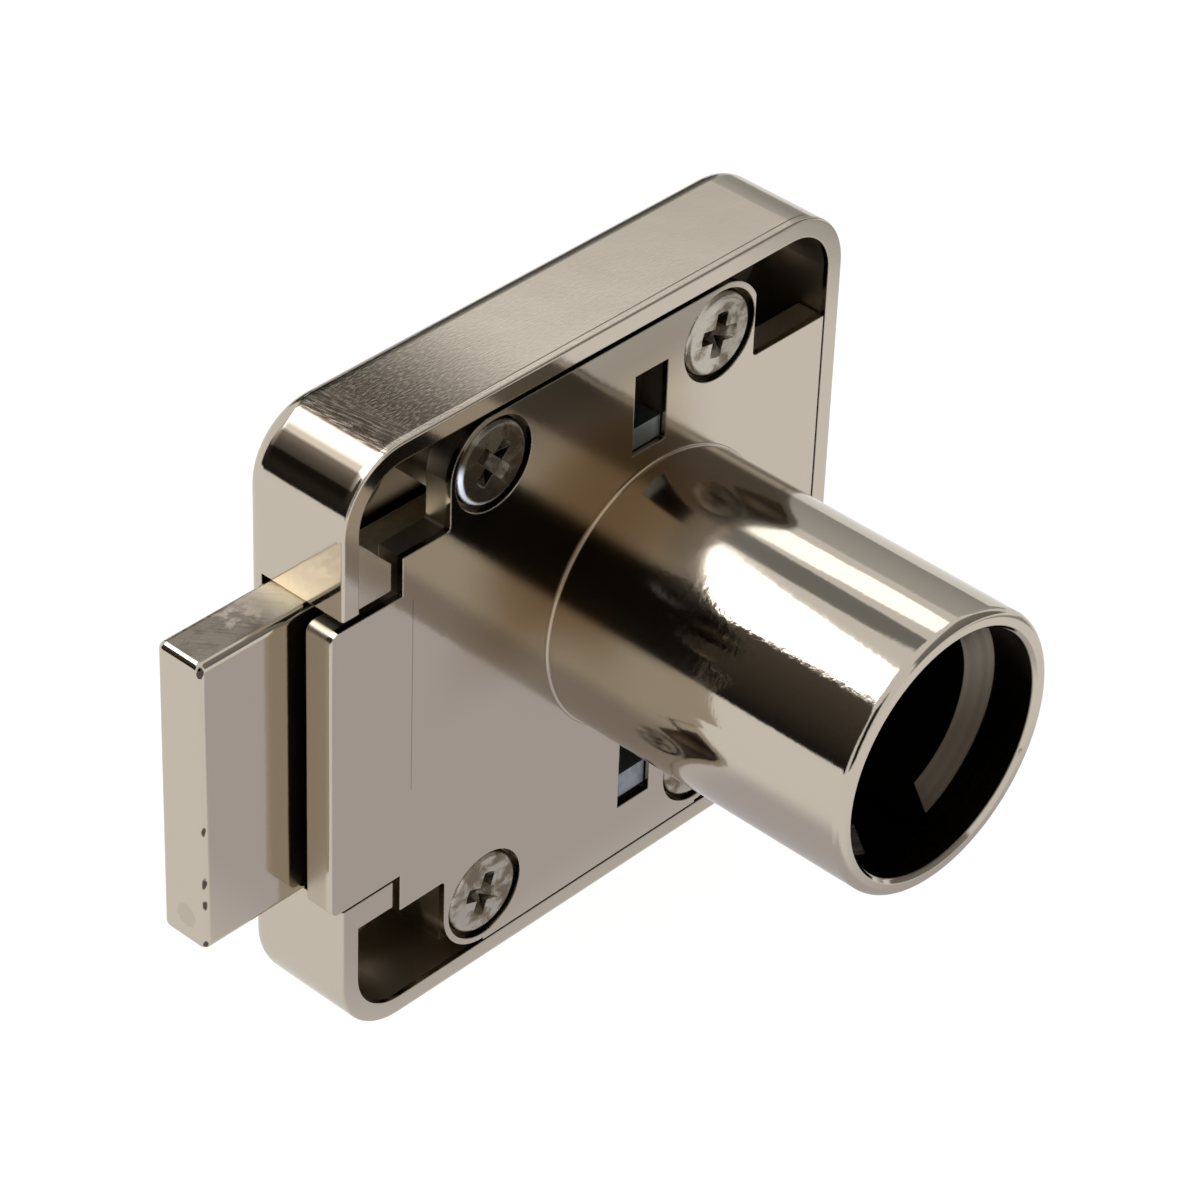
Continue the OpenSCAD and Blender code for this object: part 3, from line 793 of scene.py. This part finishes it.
# A cream for the painted highlight on the bolt's top beside the wall.
PAINTED_LIGHT_CREAM = rgb(0.92, 0.83, 0.64)
MIRRORED_CREAM = rgb(1.0, 0.93, 0.78)
BLACK = rgb(0, 0, 0)
GLOW_STRENGTH = 0.9
print("nicks along the bolt's edge:", len(NICKS))

# %% Nicks and dents


def spot(tree, wander, centre, size_mm, flatness):
    off = add(tree, "ShaderNodeVectorMath", {0: place_of(tree), 1: centre}, operation="SUBTRACT")
    squeeze = (1.0, 1.0 / flatness, 0.6)
    shaped = add(tree, "ShaderNodeVectorMath", {0: off.outputs[0], 1: squeeze}, operation="MULTIPLY")
    distance = length_of(tree, shaped.outputs[0])
    ragged = scaled(tree, wander.outputs["Fac"], 0.5 * size_mm * MM, distance)
    return fade(tree, ragged, 1.1 * size_mm, 0.95 * size_mm)


def edge_nicks(tree, wander):
    nicks = 0.0
    for high_mm, size_mm in NICKS:
        corner = (bolt_low.x, bolt_low.y, high_mm * MM)
        nicks = maths(tree, "MAXIMUM", nicks, spot(tree, wander, corner, size_mm, 0.7))
    return nicks


print("masks: spot, edge_nicks")

# %% Bolt finish


def bolt_finish():
    material, tree, shader = metal("nickel_on_bolt")
    place = place_of(tree)
    x = axes_of(tree, place)[0]
    top = times(tree, faces_up(tree, 0.93, 0.99), within(tree, 0.1, X_high=HEAD_ENDS))
    blotches = use_group(tree, STAINS, Spots_per_mm=0.8, Amount=0.58, Edge=0.25)
    edge_of_wear = scaled(tree, blotches, 2.0 * MM, x)
    toward_end = fade(tree, edge_of_wear, *WORN_END, 0.0, 0.88)
    worn_top = times(tree, top, scaled(tree, blotches, 0.15, toward_end))
    scratches = use_group(tree, GRAIN, Lines_per_mm=5.0, Length=14.0, Turn=0.9)
    wander = add(tree, "ShaderNodeTexNoise", {"Vector": place, "Scale": 2.0 / MM, "Detail": 2.0})
    nicks = edge_nicks(tree, wander)
    dent_centre = (bolt_low.x, bolt_low.y + DENT_IN * MM, DENT_HIGH * MM)
    dent = spot(tree, wander, dent_centre, DENT_SIZE, 1.5)
    lit_by_wall = times(tree, top, fade(tree, x, *LIT_BY_WALL))
    # Painted highlight: the top beside the wall is painted cream, as if lit by the lamp.
    colour = mixed(tree, lit_by_wall, NICKEL, PAINTED_LIGHT_CREAM)
    colour = darker(tree, colour, worn_top, 0.25)
    colour = darker(tree, colour, nicks, 0.1)
    colour = darker(tree, colour, dent, 0.88)
    ripple = use_group(tree, RIPPLE, Waves_per_mm=0.22, Peel=0.08)
    normal = bump(tree, ripple, 0.02)
    normal = bump(tree, times(tree, scratches, top), 0.02, normal)
    normal = bump(tree, maths(tree, "MAXIMUM", nicks, times(tree, dent, 0.3)), -0.05, normal)
    roughness = scaled(tree, top, fade(tree, x, *SATIN_END, 0.24, 0.52), 0.09)
    finish_metal(tree, shader, colour, roughness, normal)
    facing_wall = times(tree, top, fade(tree, x, *MIRRORED_TOP))
    in_mirrors = add(tree, "ShaderNodeLightPath").outputs["Is Glossy Ray"]
    glow = mixed(tree, times(tree, facing_wall, in_mirrors), BLACK, MIRRORED_CREAM)
    tree.links.new(glow, shader.inputs["Emission Color"])
    shader.inputs["Emission Strength"].default_value = GLOW_STRENGTH
    return material


bolt_metal = bolt_finish()
print("bolt:", bolt_metal.name)

# %% [markdown]
# ## The small pieces
#
# The screws were tightened by hand and their plating is worn to a blotchy satin, and the cross in
# each head is painted darker as shade. The one at the upper corner beside the bolt is darker, with a
# bluish crescent at its rim that is a painted reflection. The one at the upper right is a little darker
# too. The zinc tabs in the plate's windows are bluish. What lies deeper in the case is plain, so one
# worn finish, mixed from two tones, does for all of it. The four screws share a finish that finds the
# darker ones by their place, because they are one node.

# %% Worn steel and zinc


def worn(name, colour, dark, roughness, spots, depth_mm):
    material, tree, shader = metal(name)
    mask = use_group(tree, STAINS, Spots_per_mm=spots, Amount=0.55, Edge=0.2)
    tone = mixed(tree, mask, colour, dark)
    ripple = use_group(tree, RIPPLE, Waves_per_mm=spots, Peel=0.3)
    normal = bump(tree, ripple, depth_mm, round_edges(tree, 0.06))
    finish_metal(tree, shader, tone, scaled(tree, mask, 0.12, roughness), normal)
    return material


zinc_tabs = worn("zinc_on_tabs", rgb(0.30, 0.34, 0.36), rgb(0.24, 0.28, 0.30), 0.30, 0.8, 0.02)
cast_driver = worn("cast_driver", rgb(0.07, 0.067, 0.063), rgb(0.04, 0.038, 0.035), 0.5, 0.8, 0.03)
print("worn:", zinc_tabs.name, cast_driver.name)

# %% Screws
SCREW_SATIN = rgb(0.46, 0.42, 0.36)
SCREW_STAIN = rgb(0.20, 0.16, 0.115)
# A pale blue for the painted reflection at the upper-left screw's rim.
PAINTED_REFLECTION_BLUE = rgb(0.80, 0.88, 1.0)


def darker_screw(tree, x, z):
    right = maths(tree, "SUBTRACT", x, screws_low.x + SCREW_HEAD_R)
    up = maths(tree, "SUBTRACT", z, screws_high.z - SCREW_HEAD_R)
    radius = length_of(tree, add(tree, "ShaderNodeCombineXYZ", {"X": right, "Y": up}).outputs[0])
    on_screw = ramp(tree, radius, SCREW_HEAD_R * 1.3, SCREW_HEAD_R * 1.2)
    lower_left = fade(tree, maths(tree, "ADD", right, up), -1.2, -2.4)
    painted_blue_reflection = times(tree, lower_left, on_screw,
                     ramp(tree, radius, SCREW_HEAD_R * 0.84, SCREW_HEAD_R * 0.90),
                     ramp(tree, radius, SCREW_HEAD_R * 1.0, SCREW_HEAD_R * 0.95))
    return on_screw, painted_blue_reflection


def screw_finish():
    material, tree, shader = metal("nickel_on_screws")
    x, y, z = axes_of(tree, place_of(tree))
    face_mm = screws_low.y / MM
    corner_screw, painted_blue_reflection = darker_screw(tree, x, z)
    far_top = times(tree, fade(tree, x, 4, 5), fade(tree, z, 9, 10))
    darker_screws = maths(tree, "MAXIMUM", corner_screw, times(tree, far_top, 0.45))
    stains = use_group(tree, STAINS, Spots_per_mm=0.55, Amount=0.53, Edge=0.14)
    shade_in_cross = times(tree, fade(tree, y, face_mm + 0.22, face_mm + 0.4),
                     within(tree, 0.02, Y_high=face_mm + 2.2))
    colour = mixed(tree, stains, SCREW_SATIN, SCREW_STAIN)
    # The upper-left screw is darkened, and the upper-right one a little.
    colour = darker(tree, colour, times(tree, darker_screws, 0.8), 0.15)
    # Painted shade: the cross recess in each head is darkened.
    colour = darker(tree, colour, shade_in_cross, 0.4)
    # Painted reflection: a pale blue crescent on the lower left of the upper-left screw's rim.
    colour = mixed(tree, painted_blue_reflection, colour, PAINTED_REFLECTION_BLUE)
    ripple = use_group(tree, RIPPLE, Waves_per_mm=0.9, Peel=0.3)
    normal = bump(tree, ripple, 0.05, round_edges(tree, 0.06))
    roughness = scaled(tree, stains, 0.12, 0.22)
    finish_metal(tree, shader, colour, roughness, normal)
    return material


screw_metal = screw_finish()
print("screws:", screw_metal.name)

# %% Every node gets its finish
STEEL = rgb(0.35, 0.345, 0.34)
DARK_STEEL = rgb(0.25, 0.245, 0.24)
STEEL_PIECES = {
    "crank_pin": "pin_steel",
    "driver_washer": "washer_steel",
    "detent_spring": "spring_steel",
}
finishes = {
    "case": case_metal,
    "front_plate": plate_metal,
    "bolt": bolt_metal,
    "cover_screws": screw_metal,
    "retaining_plate": zinc_tabs,
    "driver": cast_driver,
}
for node_name, name in STEEL_PIECES.items():
    finishes[node_name] = worn(name, STEEL, DARK_STEEL, 0.3, 0.8, 0.01)
for node_name, finish in finishes.items():
    slots = frame["nodes"][node_name].data.materials
    slots.clear()
    slots.append(finish)
print("finished nodes:", len(finishes))

# %% [markdown]
# ## The bead at the tube's root
#
# Where the tube leaves the plate, the casting has a tiny raised bead. It is far too small to matter
# for the fit, and it draws the thin bright ring that separates the two mirrors. Its outline is a bit
# more than a quarter circle, turned around the tube's axis, and it sinks a little into the tube. A
# torus would bury most of its faces in the casting, so only the outline that shows is turned.

# %% The bead's outline
BEAD_R = 0.17 * MM
BEAD_SINK = 0.02 * MM
BEAD_POINTS = 9
BEAD_FROM, BEAD_SWEEP = -10, 110

bead_profile = []
for step in range(BEAD_POINTS):
    angle = math.radians(BEAD_FROM + BEAD_SWEEP * step / (BEAD_POINTS - 1))
    bead_radius = TUBE_R + BEAD_R * math.cos(angle) - BEAD_SINK
    bead_profile.append((bead_radius, -BEAD_R * math.sin(angle)))
print("outline points:", len(bead_profile))

# %% Root bead
BEAD_STEPS = 144


def turned_piece(name, profile, steps, material):
    sheet = bmesh.new()
    rings = []
    for step in range(steps):
        angle = 2 * math.pi * step / steps
        ring = [sheet.verts.new((r * math.cos(angle), y, r * math.sin(angle))) for r, y in profile]
        rings.append(ring)
    for first, second in zip(rings, rings[1:] + rings[:1]):
        for low in range(len(profile) - 1):
            sheet.faces.new((first[low], second[low], second[low + 1], first[low + 1]))
    bmesh.ops.recalc_face_normals(sheet, faces=sheet.faces)
    for face in sheet.faces:
        face.smooth = True
    mesh = bpy.data.meshes.new(name)
    sheet.to_mesh(mesh)
    sheet.free()
    mesh.materials.append(material)
    piece = bpy.data.objects.new(name, mesh)
    bpy.context.scene.collection.objects.link(piece)
    return piece


root_bead = turned_piece("root_bead", bead_profile, BEAD_STEPS, plate_metal)
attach(root_bead, "housing")
print("bead, mm:", round(2 * (TUBE_R + BEAD_R) / MM, 2), "across")
